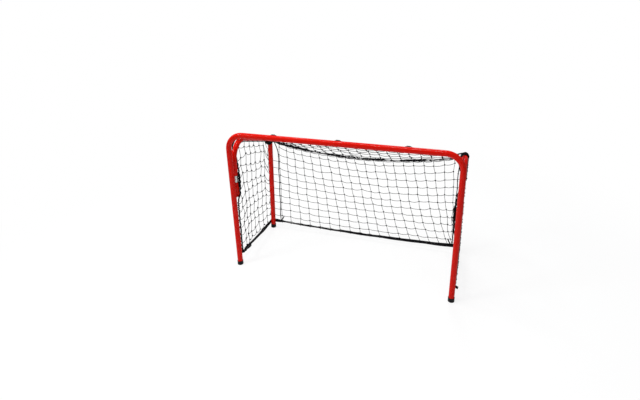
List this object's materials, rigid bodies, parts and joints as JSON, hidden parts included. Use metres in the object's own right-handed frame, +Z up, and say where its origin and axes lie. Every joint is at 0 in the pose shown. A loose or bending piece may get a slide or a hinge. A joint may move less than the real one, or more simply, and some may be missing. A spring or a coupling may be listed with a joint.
{
  "type": "folding hockey goal",
  "caption": "Small street hockey goal: bent red tube front frame, hinged side frames that fold behind it, and a black knotted net held by cords and straps.",
  "frame": {"origin": "on the ground, in the middle of the goal's bounding box", "axes": "+X along the crossbar, towards the right-hand post seen from the mouth; +Y from the mouth into the net; +Z up. The mouth faces -Y."},
  "size_m": [0.9246, 0.3882, 0.6011],
  "materials": {
    "red_powder_coat": "glossy red powder coat on steel tube",
    "zinc_plate": "zinc-plated steel",
    "black_plastic": "moulded black plastic",
    "black_net_cord": "knotted black twine",
    "black_cord": "braided black cord",
    "black_webbing": "woven black webbing"
  },
  "bodies": {
    "front_frame": {"front_tube": "red_powder_coat", "net_clip_1": "black_plastic", "net_clip_2": "black_plastic", "net_clip_3": "black_plastic", "crossbar_cord": "black_cord", "rear_tape": "black_webbing", "rear_strap": "black_webbing", "net_roof": "black_net_cord", "net_back": "black_net_cord", "post_foot_left": "black_plastic", "hinge_socket_left": "red_powder_coat", "strap_staple_left": "red_powder_coat", "post_loop_left": "black_webbing", "strap_ring_left": "zinc_plate", "post_cord_left": "black_cord", "post_foot_right": "black_plastic", "hinge_socket_right": "red_powder_coat", "strap_staple_right": "red_powder_coat", "post_loop_right": "black_webbing", "strap_ring_right": "zinc_plate", "post_cord_right": "black_cord"},
    "left_side": {"side_tube_left": "red_powder_coat", "pivot_spigot_left": "zinc_plate", "retaining_washer_left": "zinc_plate", "retaining_screw_left": "zinc_plate", "rear_foot_left": "black_plastic", "bar_cord_left": "black_cord", "corner_lashing_left": "black_cord", "corner_cord_left": "black_cord", "side_strap_left": "black_webbing", "net_side_left": "black_net_cord"},
    "right_side": {"side_tube_right": "red_powder_coat", "pivot_spigot_right": "zinc_plate", "retaining_washer_right": "zinc_plate", "retaining_screw_right": "zinc_plate", "rear_foot_right": "black_plastic", "bar_cord_right": "black_cord", "corner_lashing_right": "black_cord", "corner_cord_right": "black_cord", "side_strap_right": "black_webbing", "net_side_right": "black_net_cord"}
  },
  "joints": [
    {"name": "left_side_fold", "type": "hinge", "parent": "front_frame", "child": "left_side", "pos_m": [-0.447, -0.15368, 0], "axis": [0, 0, 1], "range_deg": [-90, 0], "deforming": ["net_roof", "net_back", "rear_tape", "rear_strap", "crossbar_cord", "net_side_left", "side_strap_left", "bar_cord_left", "corner_cord_left", "corner_lashing_left", "post_loop_left", "strap_ring_left", "post_cord_left"]},
    {"name": "right_side_fold", "type": "hinge", "parent": "front_frame", "child": "right_side", "pos_m": [0.447, -0.15368, 0], "axis": [0, 0, 1], "range_deg": [0, 90], "deforming": ["net_roof", "net_back", "rear_tape", "rear_strap", "crossbar_cord", "net_side_right", "side_strap_right", "bar_cord_right", "corner_cord_right", "corner_lashing_right", "post_loop_right", "strap_ring_right", "post_cord_right"]}
  ],
  "couplings": [
    {"joint": "right_side_fold", "follows": "left_side_fold", "ratio": -1}
  ]
}
